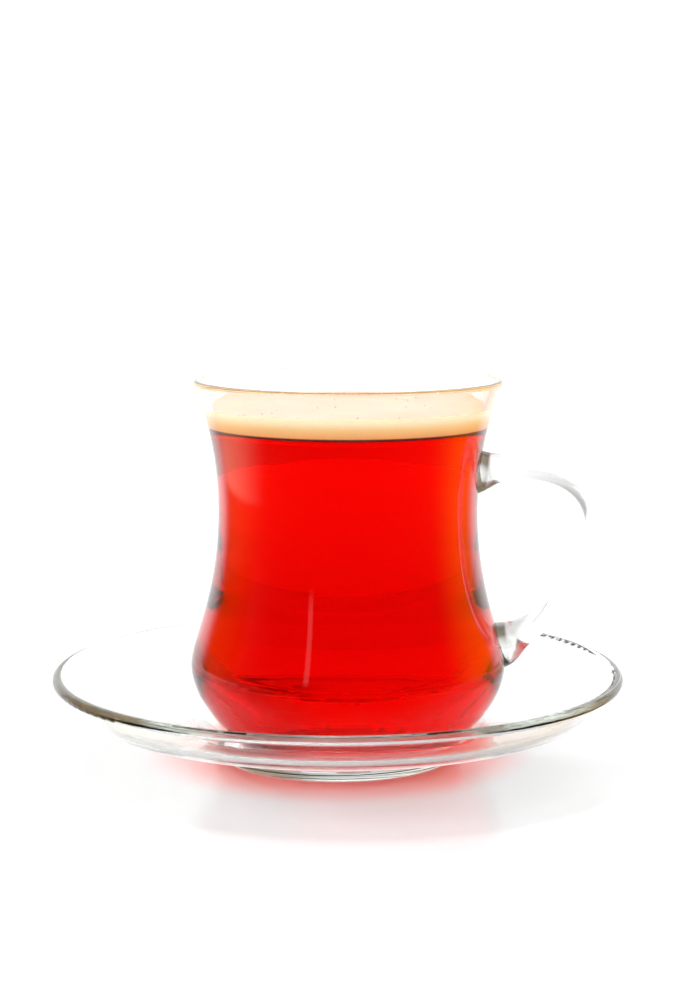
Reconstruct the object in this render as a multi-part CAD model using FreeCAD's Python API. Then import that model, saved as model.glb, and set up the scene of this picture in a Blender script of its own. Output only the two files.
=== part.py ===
import FreeCAD
import Part

import math
import os

from FreeCAD import Vector

# A handled tea glass with a waisted body, filled with red tea under a layer of froth and
# standing in the well of its own glass saucer. Millimetres, +Z up. The origin is the centre
# of the saucer's foot, on the table. The handle points along +X.
#
# Four solids: the saucer, the glass with its handle (one piece of glass), the tea and the froth.
# All but the handle are turned about a vertical axis from an outline in the XZ plane.

# --- Saucer ---------------------------------------------------------------------------------
SAUCER_RADIUS = 61.2        # over the rounded rim
SAUCER_HEIGHT = 18.6        # table to the top of the rim
SAUCER_WALL = 2.4           # dish and rounded rim
RIM_ANGLE = 55.0            # degrees that the dish climbs at its rim
RIM_PULL = 8.0              # how far the steep end of the dish reaches inwards
LIP_RUN = 8.6               # from the flat floor of the well out to the start of the dish
LIP_RISE = 5.6              # from the floor of the well up to the start of the dish
LIP_ANGLE = 9.5             # degrees that the dish climbs as it leaves the well
LIP_PULL = 22.0             # how far the flat start of the dish reaches outwards
WELL_CLEARANCE = 0.7        # play left round the glass in the well, past its shift
WELL_FLOOR = 2.6            # height of the well's floor above the table
WELL_EASE = 1.8             # softness of the well's lower corner
WELL_LIP_EASE = 4.0         # softness of its upper corner
FOOT_FLARE = 0.6            # how much wider the foot is than the well's floor
FOOT_RING_WIDTH = 4.0       # ring that touches the table
FOOT_RECESS = 0.5           # hollow under the middle of the saucer
FOOT_EDGE = 0.5             # rounding of the ring's outer edge
RECESS_EDGE = 0.3           # rounding of the inner edge of a ring that touches
FOOT_ANGLE = 65.0           # degrees that the foot's side climbs from its ring
FOOT_EASE = 2.0             # softness where the foot grows out of the ring
UNDERLIP_EASE = 4.0         # softness where the foot meets the underside of the dish

# --- Glass ----------------------------------------------------------------------------------
GLASS_HEIGHT = 78.4
GLASS_SHIFT = 2.2           # the glass stands this far along +X from the saucer's centre
RIM_RADIUS = 33.3           # outside, at the lip
LIP_SLOPE = 0.59            # how far the lip leans out for each millimetre of height
LIP_LENGTH = 3.0            # height of the lip that keeps this slope
LIP_THICKNESS = 1.7
LIP_EDGE = 0.7              # rounding of the lip's two edges
WAIST_RADIUS = 27.7         # outside, at the narrowest height
WAIST_HEIGHT = 51.0
WAIST_PULL_UP = 13.5        # how far the waist's upright stretch reaches up
WAIST_PULL_DOWN = 18.9      # and down
BELLY_RADIUS = 33.8         # outside, at the widest height below the waist
BELLY_HEIGHT = 16.9
BELLY_PULL_UP = 5.5         # how far the belly's upright stretch reaches up
BELLY_PULL_DOWN = 2.4       # and down
BASE_RADIUS = 21.7          # flat underside
HEEL_RUN = 10.6             # outward pull of the slanting heel above the base
HEEL_RISE = 6.7             # its upward pull
HEEL_EDGE = 0.8             # rounding where the heel meets the underside
BASE_RING_WIDTH = 3.6       # ring that touches the saucer
BASE_RECESS = 0.5           # hollow under the base
WALL = 2.0                  # side wall, at waist and belly
BASE_THICKNESS = 4.6        # solid glass under the tea
INNER_FLOOR_RADIUS = 14.0   # flat part of the floor inside
INNER_FLOOR_PULL = 12.0     # softness of the curve from that floor
INNER_BELLY_RISE = 1.0      # how much higher the belly sits inside than outside
INNER_BELLY_PULL = 7.0      # how far its upright stretch reaches down

# --- Handle ---------------------------------------------------------------------------------
HANDLE_REACH = 53.6         # axis of the glass to the rod's centre line at its furthest
HANDLE_BEND_HEIGHT = 45.0   # height of that furthest point above the glass's base
HANDLE_TOP = 58.1           # height of the upper root
HANDLE_TOP_RUN = 19.8       # pull of the upper arm outwards
HANDLE_TOP_LIFT = 4.4       # its pull upwards
HANDLE_BEND_UP = 11.4       # upright pull above the furthest point
HANDLE_LOW = 20.0           # height of the lower root
HANDLE_LOW_RUN = 15.5       # pull of the lower arm outwards
HANDLE_LOW_LIFT = 7.6       # its pull upwards
HANDLE_BEND_DOWN = 8.0      # upright pull below the furthest point
ROD_THICKNESS = 5.1         # in the plane of the handle
ROD_WIDTH = 7.0             # across that plane
ROOT_GROWTH = 2.3           # the rod stands out this much more all round where it meets the body
ROOT_REACH = 9.0            # length over which that growth fades
ROOT_DEPTH = 3.0            # how far the rod starts behind the outside of waist and belly
ROD_STEPS = 11              # sections along each half of the rod
ROD_STEP_GROWTH = 1.6       # how strongly the sections crowd towards the roots

# --- Drink ----------------------------------------------------------------------------------
TEA_LEVEL = 68.4            # height of the tea above the glass's base
FROTH_THICKNESS = 4.3


def at(radius, height):
    """A point of an outline, in the XZ plane."""
    return Vector(radius, 0, height)


def slant(degrees, length):
    """A step of this length in the outline's plane, climbing at this angle."""
    angle = math.radians(degrees)
    return at(math.cos(angle) * length, math.sin(angle) * length)


def bezier(*poles):
    """A curve that leaves the first pole towards the second and ends at the last."""
    curve = Part.BezierCurve()
    curve.setPoles(list(poles))
    return curve


def turned(corners, curves=()):
    """The solid of an outline turned about the Z axis.

    The outline runs through the corners. A pair of neighbouring corners with a curve or arc
    between them is joined by it, any other pair by a straight line.
    """
    shaped = {(round(c.StartPoint.x, 6), round(c.StartPoint.z, 6)): c for c in curves}
    edges = []
    for start, end in zip(corners, corners[1:] + corners[:1]):
        found = shaped.get((round(start.x, 6), round(start.z, 6)))
        edges.append(found.toShape() if found else Part.makeLine(start, end))
    return Part.Face(Part.Wire(edges)).revolve(Vector(0, 0, 0), Vector(0, 0, 1), 360)


def rings(solid, radius, height):
    """The edges of a solid that run round the Z axis at this radius and height."""
    found = []
    for edge in solid.Edges:
        middle = edge.valueAt((edge.FirstParameter + edge.LastParameter) / 2)
        off_radius = abs(math.hypot(middle.x, middle.y) - radius)
        off_height = abs(middle.z - height)
        if len(edge.Vertexes) == 1 and max(off_radius, off_height) < 1e-3:
            found.append(edge)
    return found


def rounded(solid, radius, *places):
    """The solid with the rings at these points of its outline rounded."""
    edges = [edge for place in places for edge in rings(solid, place.x, place.z)]
    return solid.makeFillet(radius, edges).Solids[0]


# --- Saucer ---------------------------------------------------------------------------------
def saucer():
    """A shallow dish with a rounded rim, a well for the glass and a foot under the well."""
    half = SAUCER_WALL / 2
    rim = at(SAUCER_RADIUS - half, SAUCER_HEIGHT - half)
    rim_above = rim + slant(RIM_ANGLE + 90, half)
    rim_below = rim - slant(RIM_ANGLE + 90, half)
    well_edge = at(BASE_RADIUS + GLASS_SHIFT + WELL_CLEARANCE, WELL_FLOOR)
    lip = well_edge + at(LIP_RUN, LIP_RISE)
    under_lip = lip - slant(LIP_ANGLE + 90, SAUCER_WALL)
    ring_outside = at(well_edge.x + FOOT_FLARE, 0)
    ring_inside = at(ring_outside.x - FOOT_RING_WIDTH, 0)
    corners = [
        at(0, WELL_FLOOR), well_edge, lip, rim_above, rim_below, under_lip,
        ring_outside, ring_inside, at(ring_inside.x, FOOT_RECESS), at(0, FOOT_RECESS),
    ]
    curves = [
        bezier(well_edge, well_edge + at(WELL_EASE, 0), lip - slant(LIP_ANGLE, WELL_LIP_EASE), lip),
        bezier(
            lip,
            lip + slant(LIP_ANGLE, LIP_PULL),
            rim_above - slant(RIM_ANGLE, RIM_PULL),
            rim_above,
        ),
        Part.Arc(rim_above, rim + slant(RIM_ANGLE, half), rim_below),
        bezier(
            rim_below,
            rim_below - slant(RIM_ANGLE, RIM_PULL),
            under_lip + slant(LIP_ANGLE, LIP_PULL),
            under_lip,
        ),
        bezier(
            under_lip,
            under_lip - slant(LIP_ANGLE, UNDERLIP_EASE),
            ring_outside + slant(FOOT_ANGLE, FOOT_EASE),
            ring_outside,
        ),
    ]
    solid = turned(corners, curves)
    solid = rounded(solid, FOOT_EDGE, ring_outside)
    return rounded(solid, RECESS_EDGE, ring_inside)


# --- Glass ----------------------------------------------------------------------------------
def flare(waist, rim):
    """The outline from waist to lip, upright at the waist and leaning out at the lip."""
    lip = rim - at(LIP_SLOPE * LIP_LENGTH, LIP_LENGTH)
    return bezier(waist, waist + at(0, WAIST_PULL_UP), lip, rim)


def shoulder(belly, waist):
    """The outline from belly to waist, upright at both ends."""
    return bezier(belly, belly + at(0, BELLY_PULL_UP), waist - at(0, WAIST_PULL_DOWN), waist)


def body():
    """The glass without its hollow and handle, standing on the origin."""
    rim = at(RIM_RADIUS, GLASS_HEIGHT)
    waist = at(WAIST_RADIUS, WAIST_HEIGHT)
    belly = at(BELLY_RADIUS, BELLY_HEIGHT)
    base = at(BASE_RADIUS, 0)
    ring_inside = at(BASE_RADIUS - BASE_RING_WIDTH, 0)
    heel = bezier(base, base + at(HEEL_RUN, HEEL_RISE), belly - at(0, BELLY_PULL_DOWN), belly)
    corners = [
        at(0, BASE_RECESS), at(ring_inside.x, BASE_RECESS), ring_inside, base, belly, waist, rim,
        at(0, GLASS_HEIGHT),
    ]
    solid = turned(corners, [heel, shoulder(belly, waist), flare(waist, rim)])
    solid = rounded(solid, RECESS_EDGE, ring_inside)
    return rounded(solid, HEEL_EDGE, base)


def hollow():
    """The inside of the glass from its floor to its lip, going on past the lip."""
    above = GLASS_HEIGHT + WALL
    rim = at(RIM_RADIUS - LIP_THICKNESS, GLASS_HEIGHT)
    waist = at(WAIST_RADIUS - WALL, WAIST_HEIGHT)
    belly = at(BELLY_RADIUS - WALL, BELLY_HEIGHT + INNER_BELLY_RISE)
    floor = at(INNER_FLOOR_RADIUS, BASE_THICKNESS)
    curves = [
        bezier(floor, floor + at(INNER_FLOOR_PULL, 0), belly - at(0, INNER_BELLY_PULL), belly),
        shoulder(belly, waist),
        flare(waist, rim),
    ]
    corners = [
        at(0, BASE_THICKNESS), floor, belly, waist, rim, at(rim.x, above), at(0, above),
    ]
    return turned(corners, curves)


def slice_of_hollow(low, high):
    """What fills the glass between two heights."""
    slab = Part.makeCylinder(RIM_RADIUS, high - low, at(0, low))
    return hollow().common(slab).removeSplitter()


def rod_section(half, share, way):
    """The oval across the rod at this share of one half of its centre line, from root to bend."""
    place = half.value(share)
    along = Vector(*half.tangent(share)[0]) * way
    out_of_body = half.length(0, share) - ROOT_DEPTH
    fade = min(max(1 - out_of_body / ROOT_REACH, 0), 1)
    growth = ROOT_GROWTH * fade * fade
    across = Vector(0, 1, 0)
    wide = place + across * (ROD_WIDTH / 2 + growth)
    thick = place + along.cross(across) * (ROD_THICKNESS / 2 + growth)
    return Part.Wire(Part.Ellipse(wide, thick, place).toShape())


def handle():
    """One bent rod of oval section whose two ends grow into the body."""
    bend = at(HANDLE_REACH, HANDLE_BEND_HEIGHT)
    top = at(WAIST_RADIUS - ROOT_DEPTH, HANDLE_TOP)
    low = at(BELLY_RADIUS - ROOT_DEPTH, HANDLE_LOW)
    upper = bezier(
        top, top + at(HANDLE_TOP_RUN, HANDLE_TOP_LIFT), bend + at(0, HANDLE_BEND_UP), bend
    )
    lower = bezier(
        low, low + at(HANDLE_LOW_RUN, HANDLE_LOW_LIFT), bend - at(0, HANDLE_BEND_DOWN), bend
    )
    shares = [(i / ROD_STEPS) ** ROD_STEP_GROWTH for i in range(ROD_STEPS + 1)]
    sections = [rod_section(upper, share, 1) for share in shares]
    sections += [rod_section(lower, share, -1) for share in reversed(shares[:-1])]
    return Part.makeLoft(sections, True, False)


def glass():
    """Body and handle as one piece of glass, hollowed, with a rounded lip."""
    solid = body().fuse(handle()).cut(hollow())
    lip_outside = at(RIM_RADIUS, GLASS_HEIGHT)
    lip_inside = at(RIM_RADIUS - LIP_THICKNESS, GLASS_HEIGHT)
    return rounded(solid.Solids[0], LIP_EDGE, lip_outside, lip_inside)


def main():
    os.makedirs("parts", exist_ok=True)
    stand = at(GLASS_SHIFT, WELL_FLOOR)
    froth_top = TEA_LEVEL + FROTH_THICKNESS
    nodes = {
        "saucer": saucer(),
        "tea_glass": glass().translated(stand),
        "tea": slice_of_hollow(BASE_THICKNESS, TEA_LEVEL).translated(stand),
        "froth": slice_of_hollow(TEA_LEVEL, froth_top).translated(stand),
    }
    for name, shape in nodes.items():
        shape.exportStep("parts/" + name + ".step")


main()
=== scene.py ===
import functools
import math
import random

import bmesh
import bpy
from bpy.props import FloatProperty, FloatVectorProperty, IntProperty, PointerProperty
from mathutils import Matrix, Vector, noise


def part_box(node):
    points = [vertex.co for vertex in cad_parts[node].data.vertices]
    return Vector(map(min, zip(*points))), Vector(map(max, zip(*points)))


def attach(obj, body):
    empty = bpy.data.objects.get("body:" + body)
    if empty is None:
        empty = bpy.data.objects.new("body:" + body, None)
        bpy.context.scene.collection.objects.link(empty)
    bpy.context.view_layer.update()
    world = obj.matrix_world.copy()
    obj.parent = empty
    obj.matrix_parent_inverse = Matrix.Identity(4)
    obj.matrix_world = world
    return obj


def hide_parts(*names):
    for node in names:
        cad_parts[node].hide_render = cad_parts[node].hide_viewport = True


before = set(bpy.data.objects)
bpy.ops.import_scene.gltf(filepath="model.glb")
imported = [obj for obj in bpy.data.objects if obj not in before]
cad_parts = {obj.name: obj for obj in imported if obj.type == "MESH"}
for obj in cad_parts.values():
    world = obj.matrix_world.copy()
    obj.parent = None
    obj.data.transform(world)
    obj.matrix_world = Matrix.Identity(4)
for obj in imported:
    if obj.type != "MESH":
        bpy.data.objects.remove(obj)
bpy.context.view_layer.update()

bl_info = {
    "name": "Tea Glass on a Saucer",
    "version": (1, 0, 0),
    "blender": (4, 5, 0),
    "location": "View3D > Sidebar > Tea Glass",
    "description": "Finishes the glassware, pours the red tea with its froth and sets the studio",
    "category": "Object",
}

MILLIMETRE = 0.001

# --- Sizes of the meshes
TURN_STEPS = 192                # steps round a turned piece
FROTH_RINGS = 60                # rings on top of the froth
LUMP_SCALE, FINE_LUMP_SCALE = 90, 260   # of the froth's relief, per metre
CLIMB_WIDTH = 1.2 * MILLIMETRE  # over which the froth climbs the wall
BUBBLE_RADII = (0.06, 0.2)      # in millimetres
BUBBLES_AT_WALL = 0.6           # share of the bubbles that lie along the wall
BUBBLE_INSET = 0.5              # in millimetres, how far those stray from it
TABLE_HALF = 6.0                # metres from the middle of the table top to its sides

# --- Clear pieces
GLASS_IOR = 1.5
TEA_IOR = 1.333
GLASS_WALL = 2.0 * MILLIMETRE
GLANCING = (0.25, 0.6)          # Fresnel shares over which mirroring grows to full
SHADED_MIRROR = 0.03            # painted shade: what is left of it on the outer wall below the belly, dimmed to stand for the shaded dish that it would mirror

# --- The handle's two roots, tinted dark brown as painted shade for the dark tea and surroundings that the glass refracts there; each soft edge from clear to full colour
ROOT_HEIGHTS = (22.6 * MILLIMETRE, 60.7 * MILLIMETRE)
ROOT_REACH = 4.0 * MILLIMETRE   # up and down, over which the wall's lean is measured
ROOT_DEPTH = (2.0 * MILLIMETRE, 1.2 * MILLIMETRE)       # off the wall
ROOT_WIDTH = (6.0 * MILLIMETRE, 4.5 * MILLIMETRE)       # off the handle's plane
ROOT_RISE = (7.0 * MILLIMETRE, 5.0 * MILLIMETRE)        # up and down from a root's middle

# --- Painted light on and under the table
GLOW_RADII = (0.022, 0.026, 0.028, 0.044)   # where painted light lies round the foot, from none to none: bright white under it, red in a ring round it
PAINTED_REFLECTION_X = (0.065, 0.08)  # where the table turns brown in what clear pieces mirror, a painted dark reflection

# --- Light bounces and ray counts
LIGHT_BOUNCES = 32              # so that light finds its way out of the thick edges of the glass
DULL_BOUNCES = 12               # so that the froth, which lies against glass, is lit through and through
ONCE = 0.5                      # a count of bounces past this has happened at least once
THIN_CROSSINGS = 4.5            # surfaces crossed at most by light that went through no tea

# --- The overhead lamp
LAMP_AIM = (-0.25, 0.36, 1.0)
LAMP_HALF_ANGLE = math.radians(7)
LAMP_EDGE = math.radians(4)

# --- Soft edges of the studio, from nothing to full, as parts of a direction: x to the right, y to
# the back, z up
SHADE_FULL_X = 0.45             # where the shade on the right, which starts in the middle, is full
SHADE_Z = (-0.08, 0.06)
CARD_X = (0.66, 0.85)
CARD_Y = (0.02, 0.10)
AMBER_FRONT_Y = (-0.25, 0.35)
AMBER_BACK_Y = (0.85, 0.55)
AMBER_X = (0.2, 0.6)
TABLE_LEFT_Z = (-0.185, -0.22)
STRIP_SLANT = 0.6               # the strip light's x over y, to the left of the camera
STRIP_HALF_WIDTH = (0.06, 0.03)
STRIP_Y = (-0.1, -0.2)
STRIP_FOOT_Z = (0.1, 0.25)
STRIP_TOP_Z = (0.7, 0.5)
BACK_Y = (0.58, 0.82)
BROWN_X = (0.05, 0.25)
BROWN_Y = (0.99, 0.9)


# --- Settings -------------------------------------------------------------------------------
class GlassSettings(bpy.types.PropertyGroup):
    """Finish of the glass and its saucer."""

    tint: FloatVectorProperty(
        name="Tint",
        description="Colour that thick glass takes on at its edges",
        default=(0.62, 0.74, 0.64), subtype="COLOR", size=3, min=0, max=1,
    )
    tint_strength: FloatProperty(
        name="Tint strength", description="How fast thick glass takes on its tint", default=7.0, min=0,
    )
    # Painted shade: the glass at the handle's roots is tinted dark brown, standing in for the dark
    # crescents that the glass refracts and mirrors there.
    root_painted_shade: FloatVectorProperty(
        name="Handle roots", description="Colour of the glass where the handle grows out of the wall",
        default=(0.11, 0.08, 0.05), subtype="COLOR", size=3, min=0, max=1,
    )
    waviness: FloatProperty(
        name="Waviness", description="Unevenness of the pressed surface", default=0.05, min=0, max=1,
    )


class DrinkSettings(bpy.types.PropertyGroup):
    """Sizes and colours of the tea and its froth."""

    wall_overlap: FloatProperty(
        name="Overlap", description="How far the drink reaches into the wall of the glass",
        default=0.15 * MILLIMETRE, unit="LENGTH", min=0,
    )
    tea_colour: FloatVectorProperty(
        name="Tea", description="Colour that light keeps as it passes through the tea",
        default=(0.970, 0.28, 0.0), subtype="COLOR", size=3, min=0, max=1,
    )
    tea_strength: FloatProperty(
        name="Strength", description="How strongly the tea is brewed", default=190.0, min=0,
    )
    # The froth's top and side colours are its own tea stain, and painted light and shade as well: the
    # side is made lighter and the top darker than the froth is, to even out the light that falls on
    # them.
    froth_top: FloatVectorProperty(
        name="Froth", description="Colour of the froth's top",
        default=(0.66, 0.42, 0.32), subtype="COLOR", size=3, min=0, max=1,
    )
    froth_patch: FloatVectorProperty(
        name="Froth patches", description="Colour of the darker patches on top of the froth",
        default=(0.64, 0.38, 0.27), subtype="COLOR", size=3, min=0, max=1,
    )
    froth_side: FloatVectorProperty(
        name="Froth side", description="Colour of the froth against the glass",
        default=(1.0, 0.62, 0.27), subtype="COLOR", size=3, min=0, max=1,
    )
    froth_edge: FloatVectorProperty(
        name="Froth edge", description="Colour of the froth against the glass, just under its top",
        default=(1.0, 0.84, 0.60), subtype="COLOR", size=3, min=0, max=1,
    )
    froth_soaked: FloatVectorProperty(
        name="Soaked froth", description="Colour of the froth where it meets the tea",
        default=(0.92, 0.40, 0.14), subtype="COLOR", size=3, min=0, max=1,
    )
    froth_line: FloatVectorProperty(
        name="Froth line", description="Colour of the thin line between tea and froth",
        default=(0.12, 0.004, 0.003), subtype="COLOR", size=3, min=0, max=1,
    )
    # Painted light: the froth and its bubbles glow though they are no lamp, to stand in for light that
    # reaches them through the glass.
    froth_painted_glow: FloatProperty(
        name="Froth glow", description="Light that the froth carries from its top to its side",
        default=0.35, min=0,
    )
    froth_relief: FloatProperty(
        name="Froth relief", description="Height of the froth's soft lumps",
        default=0.3 * MILLIMETRE, unit="LENGTH", min=0,
    )
    froth_climb: FloatProperty(
        name="Froth climb", description="How far the froth climbs the wall of the glass",
        default=0.3 * MILLIMETRE, unit="LENGTH", min=0,
    )
    bubbles: IntProperty(
        name="Bubbles", description="Number of small bubbles on the froth", default=160, min=0,
    )


class StageSettings(bpy.types.PropertyGroup):
    """Camera and light."""

    camera_distance: FloatProperty(
        name="Distance", description="From the middle of the saucer back to the camera",
        default=0.4596, unit="LENGTH",
    )
    camera_height: FloatProperty(
        name="Height", description="Of the camera above the table", default=0.1203, unit="LENGTH",
    )
    camera_pitch: FloatProperty(
        name="Pitch", description="How far the camera looks down", default=0.141, unit="ROTATION",
    )
    camera_turn: FloatProperty(
        name="Turn", description="How far the camera looks to the side", default=-0.002, unit="ROTATION",
    )
    lens: FloatProperty(name="Lens", description="Focal length in millimetres", default=78.2)
    floor_colour: FloatVectorProperty(
        name="Floor", description="Colour of the table top",
        default=(0.42, 0.42, 0.42), subtype="COLOR", size=3, min=0, max=1,
    )
    floor_glow: FloatProperty(
        name="Floor glow", description="Light that comes up through the table top", default=0.40, min=0,
    )
    backdrop: FloatProperty(name="Backdrop", description="Brightness behind the glass", default=1.25)
    slope: FloatProperty(
        name="Slope", description="How much darker the backdrop is on the right", default=0.35,
    )
    shade: FloatProperty(
        name="Shade", description="How dark the surroundings are at the upper right", default=0.55,
    )
    # Painted light: a red glow on the table round the foot, standing in for light that leaves the tea.
    painted_tea_caustic: FloatVectorProperty(
        name="Tea glow", description="Colour of the table round the foot, by light that leaves the tea",
        default=(1.35, 0.15, 0.11), subtype="COLOR", size=3, min=0,
    )
    # Painted light: a bright glow on the table under the foot, lifting the shade there.
    painted_foot_light: FloatVectorProperty(
        name="Foot glow", description="Colour of the table under the foot",
        default=(1.8, 1.8, 1.8), subtype="COLOR", size=3, min=0,
    )
    fill: FloatProperty(name="Fill", description="Brightness of the surroundings", default=1.2)
    lamp: FloatProperty(name="Lamp", description="Brightness of the overhead lamp", default=25.0)
    card: FloatVectorProperty(
        name="Cards", description="Colour of the dark cards at both sides",
        default=(0.42, 0.28, 0.19), subtype="COLOR", size=3, min=0,
    )
    strip: FloatProperty(
        name="Strip light", description="Brightness of the narrow upright light", default=0.8,
    )
    front: FloatProperty(name="Front", description="Brightness of the dark front", default=0.01)
    amber_left: FloatVectorProperty(
        name="Left amber", description="Colour that the left edge mirrors",
        default=(0.4, 0.16, 0.0), subtype="COLOR", size=3, min=0,
    )
    table_left: FloatVectorProperty(
        name="Left table", description="Colour of the table that the left side mirrors",
        default=(1.2, 1.1, 0.75), subtype="COLOR", size=3, min=0,
    )
    amber_right: FloatVectorProperty(
        name="Right amber", description="Colour that the right edge mirrors",
        default=(1.0, 0.5, 0.0), subtype="COLOR", size=3, min=0,
    )


# --- Turned outlines ------------------------------------------------------------------------
def axis_of(node):
    """Where a turned node's upright axis stands."""
    low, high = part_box(node)
    return Vector(((low.x + high.x) / 2, (low.y + high.y) / 2, 0))


def side_outline(node):
    """The (radius, height) pairs of a turned node's side, from its floor up."""
    axis = axis_of(node)
    widest = {}
    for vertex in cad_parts[node].data.vertices:
        height = round(vertex.co.z, 5)
        radius = math.hypot(vertex.co.x - axis.x, vertex.co.y - axis.y)
        widest[height] = max(radius, widest.get(height, 0))
    return [(widest[height], height) for height in sorted(widest)]


def belly_height():
    """Where the tea is widest."""
    return max(side_outline("tea"))[1]


def wall_radius(height):
    """Outside radius of the glass's body at a height, from the tea that fills it."""
    outline = side_outline("tea")
    below = [point for point in outline if point[1] <= height][-1]
    above = [point for point in outline if point[1] > height][0]
    share = (height - below[1]) / (above[1] - below[1])
    return below[0] + (above[0] - below[0]) * share + GLASS_WALL


def pushed_out(outline, distance):
    """The outline moved outwards along its normals."""
    moved = []
    for i, (radius, height) in enumerate(outline):
        before = outline[max(i - 1, 0)]
        after = outline[min(i + 1, len(outline) - 1)]
        along = Vector((after[0] - before[0], after[1] - before[1])).normalized()
        moved.append((radius + along.y * distance, height - along.x * distance))
    return moved


def turned_mesh(name, outline, axis, lift=None):
    """A closed mesh of an outline that starts and ends at the axis, turned about it.

    lift(x, y, radius, height) gives a height to add to a point.
    """
    bm = bmesh.new()
    poles = [bm.verts.new(axis + Vector((0, 0, height))) for _, height in (outline[0], outline[-1])]
    rings = []
    for radius, height in outline[1:-1]:
        ring = []
        for step in range(TURN_STEPS):
            angle = 2 * math.pi * step / TURN_STEPS
            x, y = radius * math.cos(angle), radius * math.sin(angle)
            rise = lift(x, y, radius, height) if lift else 0
            ring.append(bm.verts.new(axis + Vector((x, y, height + rise))))
        rings.append(ring)
    for step in range(TURN_STEPS):
        after = (step + 1) % TURN_STEPS
        bm.faces.new((poles[0], rings[0][after], rings[0][step]))
        for low, high in zip(rings, rings[1:]):
            bm.faces.new((low[step], low[after], high[after], high[step]))
        bm.faces.new((poles[1], rings[-1][step], rings[-1][after]))
    mesh = bpy.data.meshes.new(name)
    bm.to_mesh(mesh)
    bm.free()
    for face in mesh.polygons:
        face.use_smooth = True
    return mesh


def add_piece(name, mesh, material, slot, *nodes):
    """A piece of the object that rides on its one body."""
    piece = bpy.data.objects.new(name, mesh)
    bpy.context.scene.collection.objects.link(piece)
    mesh.materials.append(material)
    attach(piece, "root")
    if nodes:
        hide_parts(*nodes)
    return piece


# --- Material helpers -----------------------------------------------------------------------
def new_material(name):
    """A node material with nothing but a Principled shader and its output."""
    material = bpy.data.materials.new(name)
    material.use_nodes = True
    tree = material.node_tree
    tree.nodes.clear()
    output = tree.nodes.new("ShaderNodeOutputMaterial")
    shader = tree.nodes.new("ShaderNodeBsdfPrincipled")
    tree.links.new(shader.outputs["BSDF"], output.inputs["Surface"])
    return material, tree, shader


def add_node(tree, kind, inputs=(), **settings):
    """A node with settings, whose inputs are values or the sockets that feed them."""
    node = tree.nodes.new(kind)
    for name, value in settings.items():
        setattr(node, name, value)
    for name, value in dict(inputs).items():
        if isinstance(value, bpy.types.NodeSocket):
            tree.links.new(value, node.inputs[name])
        else:
            node.inputs[name].default_value = value
    return node


def blotches(tree, scale, detail=3.0):
    """Soft grey noise that sits still in the object."""
    place = add_node(tree, "ShaderNodeTexCoord").outputs["Object"]
    return add_node(
        tree, "ShaderNodeTexNoise", {"Vector": place, "Scale": scale, "Detail": detail}
    ).outputs["Fac"]


def spread(tree, value, low, high):
    """A 0 to 1 value spread between two others."""
    return add_node(
        tree, "ShaderNodeMapRange", {"Value": value, "To Min": low, "To Max": high}
    ).outputs["Result"]


def blend(tree, share, first, second):
    """Two colours mixed by a share."""
    mix = add_node(tree, "ShaderNodeMix", data_type="RGBA")
    for socket, value in ((mix.inputs[0], share), (mix.inputs[6], first), (mix.inputs[7], second)):
        if isinstance(value, bpy.types.NodeSocket):
            tree.links.new(value, socket)
        else:
            socket.default_value = (*value, 1)
    return mix.outputs[2]


def absorb(tree, colour, density):
    """Colour taken on inside a clear piece."""
    volume = add_node(tree, "ShaderNodeVolumeAbsorption")
    volume.inputs["Color"].default_value = (*colour, 1)
    volume.inputs["Density"].default_value = density
    tree.links.new(volume.outputs["Volume"], tree.get_output_node("ALL").inputs["Volume"])


def soft_step(tree, value, start, end):
    """0 before start and 1 past end, with a soft edge."""
    return add_node(
        tree, "ShaderNodeMapRange", {"Value": value, "From Min": start, "From Max": end},
        interpolation_type="SMOOTHSTEP",
    ).outputs["Result"]


def maths(tree, operation, *values):
    """Values put together."""
    return add_node(tree, "ShaderNodeMath", dict(enumerate(values)), operation=operation).outputs[0]


def product(tree, *values):
    """Values multiplied with each other."""
    return functools.reduce(lambda first, second: maths(tree, "MULTIPLY", first, second), values)


def vector_maths(tree, operation, *values):
    """Vectors put together, into a vector."""
    return add_node(
        tree, "ShaderNodeVectorMath", dict(enumerate(values)), operation=operation
    ).outputs["Vector"]


def vector_value(tree, operation, *values):
    """Vectors put together, into a value."""
    return add_node(
        tree, "ShaderNodeVectorMath", dict(enumerate(values)), operation=operation
    ).outputs["Value"]


def components(tree, vector):
    """A vector's x, y and z."""
    parts = add_node(tree, "ShaderNodeSeparateXYZ", {"Vector": vector})
    return [parts.outputs[name] for name in "XYZ"]


def between(tree, share, low, high):
    """A value between two others by a share."""
    return add_node(tree, "ShaderNodeMix", {0: share, 2: low, 3: high}).outputs[0]


def grey(tree, value):
    """A colour with all its channels at one value."""
    return add_node(
        tree, "ShaderNodeCombineColor", {"Red": value, "Green": value, "Blue": value}
    ).outputs["Color"]


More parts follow.
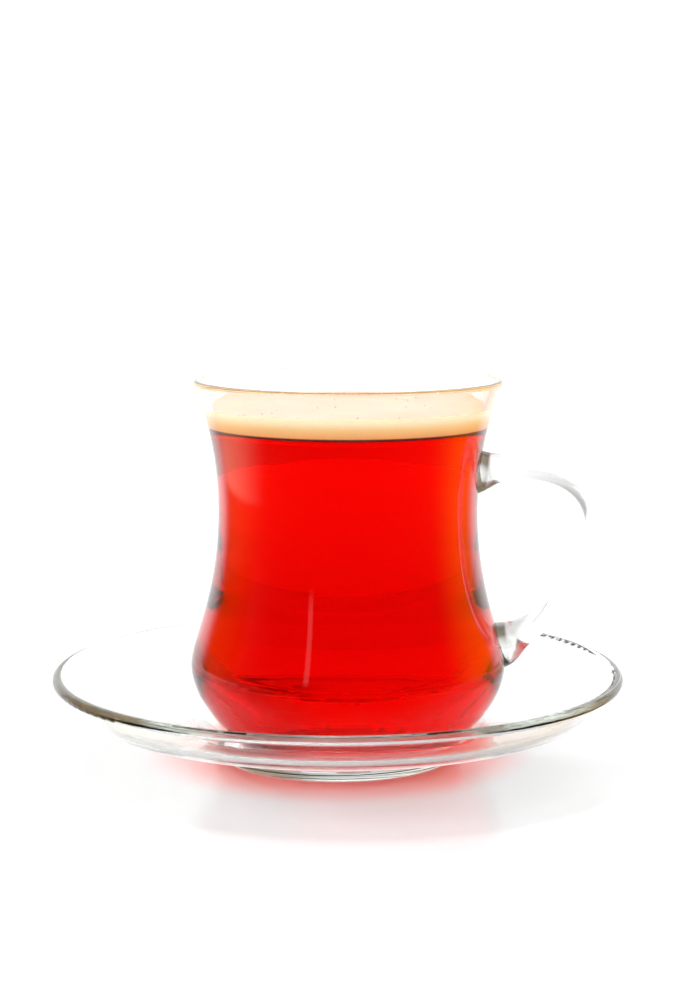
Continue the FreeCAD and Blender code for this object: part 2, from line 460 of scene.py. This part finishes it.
# --- Materials ------------------------------------------------------------------------------
def mirror_share(tree, axis, level, belly):
    """How much the glass mirrors where light meets it steeply.

    That is nothing on the inner wall up to the tea's level, where tea lies against glass, and
    little on the outer wall below the belly, a painted shade that stands in for the shaded dish it
    would mirror there. Light that meets it at a glancing angle or can't leave it is mirrored in full.
    """
    geometry = add_node(tree, "ShaderNodeNewGeometry")
    outwards = vector_maths(tree, "SUBTRACT", geometry.outputs["Position"], axis)
    flat = vector_maths(tree, "MULTIPLY", outwards, (1, 1, 0))
    faces_out = vector_value(tree, "DOT_PRODUCT", geometry.outputs["True Normal"], flat)
    height = components(tree, geometry.outputs["Position"])[2]
    side = maths(tree, "MULTIPLY_ADD", geometry.outputs["Backfacing"], -2.0, 1.0)
    inside = maths(tree, "LESS_THAN", product(tree, faces_out, side), 0.0)
    wet = product(tree, inside, maths(tree, "LESS_THAN", height, level))
    # Painted shade: below the belly the outer wall mirrors only a little.
    shaded = maths(tree, "LESS_THAN", height, belly)
    dry = blend(tree, shaded, (1, 1, 1), (SHADED_MIRROR,) * 3)
    fresnel = add_node(tree, "ShaderNodeFresnel", {"IOR": GLASS_IOR}).outputs["Fac"]
    glancing = soft_step(tree, fresnel, *GLANCING)
    return blend(tree, glancing, blend(tree, wet, dry, (0, 0, 0)), (1, 1, 1))


def root_share(tree, axis):
    """1 at the handle's two roots and on the wall close round them, and 0 elsewhere: where the glass
    gets its painted dark shade.
    """
    position = add_node(tree, "ShaderNodeNewGeometry").outputs["Position"]
    outwards = vector_maths(tree, "SUBTRACT", position, axis)
    radius = vector_value(tree, "LENGTH", vector_maths(tree, "MULTIPLY", outwards, (1, 1, 0)))
    x, y, z = components(tree, outwards)
    on_handle = product(
        tree, maths(tree, "GREATER_THAN", x, 0.0),
        soft_step(tree, maths(tree, "ABSOLUTE", y), *ROOT_WIDTH),
    )
    total = 0.0
    for height in ROOT_HEIGHTS:
        lower, upper = wall_radius(height - ROOT_REACH), wall_radius(height + ROOT_REACH)
        above = maths(tree, "SUBTRACT", z, height)
        lean = maths(tree, "MULTIPLY", above, (upper - lower) / (2 * ROOT_REACH))
        wall = maths(tree, "ADD", lean, (upper + lower) / 2)
        root = product(
            tree,
            soft_step(tree, maths(tree, "SUBTRACT", radius, wall), *ROOT_DEPTH),
            soft_step(tree, maths(tree, "ABSOLUTE", above), *ROOT_RISE),
        )
        total = maths(tree, "MAXIMUM", root, total)
    return product(tree, on_handle, total)


def pressed_glass(name, waviness, settings, drink=None):
    """Clear glass with a green cast where it's thick and a hardly uneven pressed surface.

    For the glass that holds the drink, drink is its axis, the tea's level and the belly's height.
    """
    material, tree, shader = new_material(name)
    film = blotches(tree, scale=90.0)
    tree.links.new(spread(tree, film, low=0.0, high=0.02), shader.inputs["Roughness"])
    colour = blend(tree, film, (0.985, 0.99, 0.985), (1.0, 1.0, 1.0))
    # Painted shade: the glass is tinted dark brown at the handle's roots.
    if drink:
        colour = blend(tree, root_share(tree, drink[0]), colour, settings.root_painted_shade)
    tree.links.new(colour, shader.inputs["Base Color"])
    shader.inputs["Transmission Weight"].default_value = 1.0
    shader.inputs["IOR"].default_value = GLASS_IOR
    waves = blotches(tree, scale=60.0, detail=1.0)
    bump = add_node(
        tree, "ShaderNodeBump",
        {"Height": waves, "Strength": waviness, "Distance": 0.2 * MILLIMETRE},
    )
    tree.links.new(bump.outputs["Normal"], shader.inputs["Normal"])
    if drink:
        tree.links.new(mirror_share(tree, *drink), shader.inputs["Specular Tint"])
    absorb(tree, settings.tint, settings.tint_strength)
    return material


def red_tea(settings):
    """Clear tea whose red deepens with the length of the light's way through it."""
    material, tree, shader = new_material("red_tea")
    film = blotches(tree, scale=40.0)
    tree.links.new(spread(tree, film, low=0.0, high=0.01), shader.inputs["Roughness"])
    shader.inputs["Base Color"].default_value = (1, 1, 1, 1)
    shader.inputs["Transmission Weight"].default_value = 1.0
    shader.inputs["IOR"].default_value = TEA_IOR
    shader.inputs["Specular Tint"].default_value = (0, 0, 0, 1)
    absorb(tree, settings.tea_colour, settings.tea_strength)
    return material


def foam(settings, low, high):
    """Froth, stained by the tea below and cream on top, with fine pores, and a faint painted glow."""
    material, tree, shader = new_material("froth")
    place = add_node(tree, "ShaderNodeTexCoord").outputs["Object"]
    height = components(tree, place)[2]
    level = add_node(
        tree, "ShaderNodeMapRange", {"Value": height, "From Min": low, "From Max": high}
    ).outputs["Result"]
    ramp = add_node(tree, "ShaderNodeValToRGB", {"Fac": level})
    stops = [
        (0.0, settings.froth_line), (0.06, settings.froth_line), (0.12, settings.froth_soaked),
        (0.50, settings.froth_side), (0.85, settings.froth_edge), (1.0, settings.froth_edge),
    ]
    elements = ramp.color_ramp.elements
    while len(elements) < len(stops):
        elements.new(0.5)
    for element, (position, colour) in zip(elements, stops):
        element.position = position
        element.color = (*colour, 1)
    patches = add_node(
        tree, "ShaderNodeMapRange",
        {"Value": blotches(tree, scale=45.0, detail=2.0), "From Min": 0.45, "From Max": 0.7},
    ).outputs["Result"]
    top = blend(tree, patches, settings.froth_top, settings.froth_patch)
    upright = components(tree, add_node(tree, "ShaderNodeNewGeometry").outputs["True Normal"])[2]
    on_top = soft_step(tree, upright, start=0.5, end=0.9)
    # The top and side colours are partly painted light and shade.
    colour = blend(tree, on_top, ramp.outputs["Color"], top)
    tree.links.new(colour, shader.inputs["Base Color"])
    # Painted light: the froth glows in its own colour.
    tree.links.new(colour, shader.inputs["Emission Color"])
    shader.inputs["Emission Strength"].default_value = settings.froth_painted_glow
    fine = blotches(tree, scale=800.0)
    tree.links.new(spread(tree, fine, low=0.55, high=0.8), shader.inputs["Roughness"])
    shader.inputs["Subsurface Weight"].default_value = 0.6
    shader.inputs["Subsurface Radius"].default_value = (1.0, 0.6, 0.3)
    shader.inputs["Subsurface Scale"].default_value = 1.5 * MILLIMETRE
    pores = add_node(tree, "ShaderNodeTexVoronoi", {"Vector": place, "Scale": 1600.0})
    bump = add_node(
        tree, "ShaderNodeBump",
        {"Height": pores.outputs["Distance"], "Strength": 0.3, "Distance": 0.1 * MILLIMETRE},
    )
    tree.links.new(bump.outputs["Normal"], shader.inputs["Normal"])
    return material


def bubble_film(settings):
    """The pale shell of a small bubble, with the froth's faint painted glow."""
    material, tree, shader = new_material("bubble_film")
    colour = blend(tree, blotches(tree, scale=300.0), settings.froth_top, settings.froth_patch)
    tree.links.new(colour, shader.inputs["Base Color"])
    # Painted light: the bubbles glow like the froth.
    tree.links.new(colour, shader.inputs["Emission Color"])
    shader.inputs["Emission Strength"].default_value = settings.froth_painted_glow
    fine = blotches(tree, scale=900.0)
    tree.links.new(spread(tree, fine, low=0.15, high=0.3), shader.inputs["Roughness"])
    return material


def table_top(settings):
    """A pale, shiny table that's softly lit from below, with painted light round the foot: red round it
    and brighter under it.

    Past the saucer's right end it's brown in what clear pieces mirror, a painted dark reflection.
    """
    material, tree, shader = new_material("table_top")
    lighter = [min(channel * 1.02, 1) for channel in settings.floor_colour]
    place = add_node(tree, "ShaderNodeTexCoord").outputs["Object"]
    along = components(tree, place)[0]
    # Painted reflection: past the saucer's right end, rays that were mirrored once see the table in the
    # cards' brown.
    glossy_depth = add_node(tree, "ShaderNodeLightPath").outputs["Glossy Depth"]
    mirrored = product(
        tree, soft_step(tree, along, *PAINTED_REFLECTION_X), maths(tree, "GREATER_THAN", glossy_depth, ONCE)
    )
    even = blend(tree, blotches(tree, scale=4.0), settings.floor_colour, lighter)
    tree.links.new(blend(tree, mirrored, even, settings.card), shader.inputs["Base Color"])
    # Painted light: a red ring round the foot and a bright patch under it.
    radius = vector_value(tree, "DISTANCE", place, axis_of("saucer"))
    under, inner, outer, end = GLOW_RADII
    ring = product(tree, soft_step(tree, radius, under, inner), soft_step(tree, radius, end, outer))
    glow = blend(tree, ring, (1, 1, 1), settings.painted_tea_caustic)
    glow = blend(tree, soft_step(tree, radius, inner, under), glow, settings.painted_foot_light)
    tree.links.new(blend(tree, mirrored, glow, settings.card), shader.inputs["Emission Color"])
    shader.inputs["Roughness"].default_value = 0.2
    shader.inputs["Specular IOR Level"].default_value = 0.35
    shader.inputs["Emission Strength"].default_value = settings.floor_glow
    return material


# --- Pieces ---------------------------------------------------------------------------------
class TEAGLASS_OT_glassware(bpy.types.Operator):
    """Finish the glass and its saucer"""

    bl_idname = "teaglass.glassware"
    bl_label = "Finish the glassware"

    def execute(self, context):
        settings = context.scene.teaglass_glass
        for node, share in (("tea_glass", 0.5), ("saucer", 1.0)):
            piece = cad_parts[node]
            drink = None
            if node == "tea_glass":
                drink = axis_of("tea"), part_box("tea")[1].z, belly_height()
            material = pressed_glass(node + "_finish", settings.waviness * share, settings, drink)
            piece.data.materials.clear()
            piece.data.materials.append(material)
        return {"FINISHED"}


class TEAGLASS_OT_tea(bpy.types.Operator):
    """Pour the tea up to its level"""

    bl_idname = "teaglass.tea"
    bl_label = "Pour the tea"

    def execute(self, context):
        settings = context.scene.teaglass_drink
        side = pushed_out(side_outline("tea"), settings.wall_overlap)
        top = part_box("tea")[1].z
        outline = [(0, side[0][1]), *side[:-1], (side[-1][0], top), (0, top)]
        mesh = turned_mesh("red_tea", outline, axis_of("tea"))
        add_piece("red_tea", mesh, red_tea(settings), "red_tea", "tea")
        return {"FINISHED"}


class TEAGLASS_OT_froth(bpy.types.Operator):
    """Lay the froth on the tea"""

    bl_idname = "teaglass.froth"
    bl_label = "Lay the froth"

    def execute(self, context):
        settings = context.scene.teaglass_drink
        low, high = (corner.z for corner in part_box("froth"))
        (low_radius, _), (high_radius, _) = side_outline("froth")[0], side_outline("froth")[-1]
        reach = settings.wall_overlap
        outline = [(0, low - reach), (low_radius + reach, low - reach)]
        outline += [
            (low_radius + (high_radius - low_radius) * share + reach, low + (high - low) * share)
            for share in (0.0, 0.25, 0.5, 0.75, 1.0)
        ]
        outline += [
            ((high_radius + reach) * (1 - ring / FROTH_RINGS), high) for ring in range(1, FROTH_RINGS)
        ]
        outline.append((0, high))

        def lift(x, y, radius, height):
            if height < high - MILLIMETRE / 10:
                return 0
            lumps = noise.noise(Vector((x, y, 0)) * LUMP_SCALE)
            lumps += noise.noise(Vector((x, y, 7)) * FINE_LUMP_SCALE) / 3
            gap = (high_radius - radius) / CLIMB_WIDTH
            return settings.froth_relief * lumps + settings.froth_climb * math.exp(-gap * gap)

        mesh = turned_mesh("froth_layer", outline, axis_of("froth"), lift)
        add_piece("froth_layer", mesh, foam(settings, low, high), "froth_foam", "froth")
        return {"FINISHED"}


class TEAGLASS_OT_bubbles(bpy.types.Operator):
    """Strew small bubbles over the froth, most of them along the wall"""

    bl_idname = "teaglass.bubbles"
    bl_label = "Strew the bubbles"

    def execute(self, context):
        settings = context.scene.teaglass_drink
        draw = random.Random(11)
        axis = axis_of("froth")
        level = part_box("froth")[1].z
        edge = side_outline("froth")[-1][0]
        bm = bmesh.new()
        for _ in range(settings.bubbles):
            size = draw.uniform(*BUBBLE_RADII) * MILLIMETRE
            if draw.random() < BUBBLES_AT_WALL:
                inset = abs(draw.gauss(0, BUBBLE_INSET)) * MILLIMETRE
            else:
                inset = edge * (1 - draw.random() ** 0.5)
            radius = edge - size - inset
            angle = draw.uniform(0, 2 * math.pi)
            x, y = radius * math.cos(angle), radius * math.sin(angle)
            place = axis + Vector((x, y, level + size * 0.2))
            made = bmesh.ops.create_icosphere(bm, subdivisions=2, radius=size)
            bmesh.ops.translate(bm, verts=made["verts"], vec=place)
        mesh = bpy.data.meshes.new("froth_bubbles")
        bm.to_mesh(mesh)
        bm.free()
        for face in mesh.polygons:
            face.use_smooth = True
        add_piece("froth_bubbles", mesh, bubble_film(settings), "froth_foam")
        return {"FINISHED"}


# --- Stage ----------------------------------------------------------------------------------
def facing(tree, direction, aim, half_angle, edge):
    """1 within an angle round one direction, fading to 0 over an edge, in radians."""
    dot = vector_value(tree, "DOT_PRODUCT", direction, Vector(aim).normalized())
    return soft_step(tree, dot, math.cos(half_angle + edge), math.cos(half_angle))


def studio_world(settings):
    """White surroundings with an overhead lamp, as four kinds of ray see them.

    The camera sees plain white. What is dull is lit by the lamp and an even fill. Clear pieces
    show a backdrop that's shaded towards the upper right, with dark cards at both sides. They
    mirror a dark front with a narrow upright light, amber sides and a bright back.
    """
    world = bpy.data.worlds.new("studio")
    bpy.context.scene.world = world
    world.use_nodes = True
    tree = world.node_tree
    tree.nodes.clear()
    direction = add_node(tree, "ShaderNodeTexCoord").outputs["Generated"]
    x, y, z = components(tree, direction)
    rays = add_node(tree, "ShaderNodeLightPath")
    first_sight = maths(tree, "LESS_THAN", rays.outputs["Diffuse Depth"], ONCE)

    lamp = facing(tree, direction, LAMP_AIM, LAMP_HALF_ANGLE, LAMP_EDGE)
    around = grey(tree, between(tree, lamp, settings.fill, settings.fill + settings.lamp))

    to_right = add_node(tree, "ShaderNodeMapRange", {"Value": x, "From Max": SHADE_FULL_X})
    shade = product(
        tree, to_right.outputs["Result"], soft_step(tree, z, *SHADE_Z),
        maths(tree, "LESS_THAN", rays.outputs["Transmission Depth"], THIN_CROSSINGS),
    )
    backdrop = product(
        tree, maths(tree, "MULTIPLY_ADD", x, -settings.slope, settings.backdrop),
        between(tree, shade, 1.0, 1.0 - settings.shade),
    )
    card = product(
        tree, soft_step(tree, maths(tree, "ABSOLUTE", x), *CARD_X), soft_step(tree, y, *CARD_Y)
    )
    through = blend(tree, card, grey(tree, backdrop), settings.card)
    brown = product(
        tree, maths(tree, "GREATER_THAN", rays.outputs["Glossy Depth"], ONCE),
        soft_step(tree, x, *BROWN_X), soft_step(tree, y, *BROWN_Y),
    )
    through = blend(tree, brown, through, settings.card)

    side = product(tree, soft_step(tree, y, *AMBER_FRONT_Y), soft_step(tree, y, *AMBER_BACK_Y))
    right = product(tree, side, soft_step(tree, x, *AMBER_X))
    left = product(tree, side, soft_step(tree, x, *(-edge for edge in AMBER_X)))
    mirrored = blend(tree, right, (settings.front,) * 3, settings.amber_right)
    table = soft_step(tree, z, *TABLE_LEFT_Z)
    amber = blend(tree, table, settings.amber_left, settings.table_left)
    mirrored = blend(tree, left, mirrored, amber)
    aside = maths(tree, "SUBTRACT", maths(tree, "DIVIDE", x, y), STRIP_SLANT)
    strip = product(
        tree, soft_step(tree, maths(tree, "ABSOLUTE", aside), *STRIP_HALF_WIDTH),
        soft_step(tree, y, *STRIP_Y),
        soft_step(tree, z, *STRIP_FOOT_Z), soft_step(tree, z, *STRIP_TOP_Z),
    )
    mirrored = blend(tree, strip, mirrored, (settings.strip,) * 3)
    mirrored = blend(tree, soft_step(tree, y, *BACK_Y), mirrored, (settings.backdrop,) * 3)

    colour = around
    for is_ray, seen in (
        (product(tree, rays.outputs["Is Transmission Ray"], first_sight), through),
        (product(tree, rays.outputs["Is Reflection Ray"], first_sight), mirrored),
        (rays.outputs["Is Camera Ray"], (settings.backdrop,) * 3),
    ):
        colour = blend(tree, is_ray, colour, seen)
    background = add_node(tree, "ShaderNodeBackground", {"Color": colour, "Strength": 1.0})
    output = add_node(tree, "ShaderNodeOutputWorld")
    tree.links.new(background.outputs["Background"], output.inputs["Surface"])


class TEAGLASS_OT_stage(bpy.types.Operator):
    """Set the table, the light and the camera"""

    bl_idname = "teaglass.stage"
    bl_label = "Set the stage"

    def execute(self, context):
        scene = context.scene
        settings = scene.teaglass_stage
        floor = bpy.data.meshes.new("table_top")
        corners = [
            Vector((x, y, 0)) * TABLE_HALF for x, y in ((-1, -1), (1, -1), (1, 1), (-1, 1))
        ]
        floor.from_pydata(corners, [], [(0, 1, 2, 3)])
        floor.materials.append(table_top(settings))
        table = bpy.data.objects.new("table_top", floor)
        scene.collection.objects.link(table)
        table.visible_glossy = False
        studio_world(settings)

        camera = bpy.data.objects.new("camera", bpy.data.cameras.new("camera"))
        camera.data.sensor_fit = "VERTICAL"
        camera.data.sensor_height = 36.0
        camera.data.lens = settings.lens
        camera.data.clip_start = 0.01
        camera.location = (0, -settings.camera_distance, settings.camera_height)
        camera.rotation_euler = (math.pi / 2 - settings.camera_pitch, 0, settings.camera_turn)
        scene.collection.objects.link(camera)
        scene.camera = camera
        scene.view_settings.view_transform = "Standard"
        scene.cycles.max_bounces = LIGHT_BOUNCES
        scene.cycles.glossy_bounces = LIGHT_BOUNCES
        scene.cycles.transmission_bounces = LIGHT_BOUNCES
        scene.cycles.diffuse_bounces = DULL_BOUNCES
        scene.cycles.sample_clamp_indirect = 0
        return {"FINISHED"}


class TEAGLASS_PT_panel(bpy.types.Panel):
    """The steps that make the tea glass"""

    bl_idname = "TEAGLASS_PT_panel"
    bl_label = "Tea Glass"
    bl_space_type = "VIEW_3D"
    bl_region_type = "UI"
    bl_category = "Tea Glass"

    def draw(self, context):
        layout = self.layout
        scene = context.scene
        for group in (scene.teaglass_glass, scene.teaglass_drink, scene.teaglass_stage):
            box = layout.box()
            for name in group.__annotations__:
                box.prop(group, name)
        for operator in STEPS:
            layout.operator(operator.bl_idname)


STEPS = (
    TEAGLASS_OT_glassware, TEAGLASS_OT_tea, TEAGLASS_OT_froth, TEAGLASS_OT_bubbles, TEAGLASS_OT_stage,
)
CLASSES = (GlassSettings, DrinkSettings, StageSettings, *STEPS, TEAGLASS_PT_panel)


def register():
    """Make the settings, operators and panel known"""
    for cls in CLASSES:
        bpy.utils.register_class(cls)
    bpy.types.Scene.teaglass_glass = PointerProperty(type=GlassSettings)
    bpy.types.Scene.teaglass_drink = PointerProperty(type=DrinkSettings)
    bpy.types.Scene.teaglass_stage = PointerProperty(type=StageSettings)


def unregister():
    """Take them away again"""
    del bpy.types.Scene.teaglass_stage
    del bpy.types.Scene.teaglass_drink
    del bpy.types.Scene.teaglass_glass
    for cls in reversed(CLASSES):
        bpy.utils.unregister_class(cls)


def main():
    """Run every step in order"""
    register()
    bpy.ops.teaglass.glassware()
    bpy.ops.teaglass.tea()
    bpy.ops.teaglass.froth()
    bpy.ops.teaglass.bubbles()
    bpy.ops.teaglass.stage()


if __name__ == "__main__":
    main()
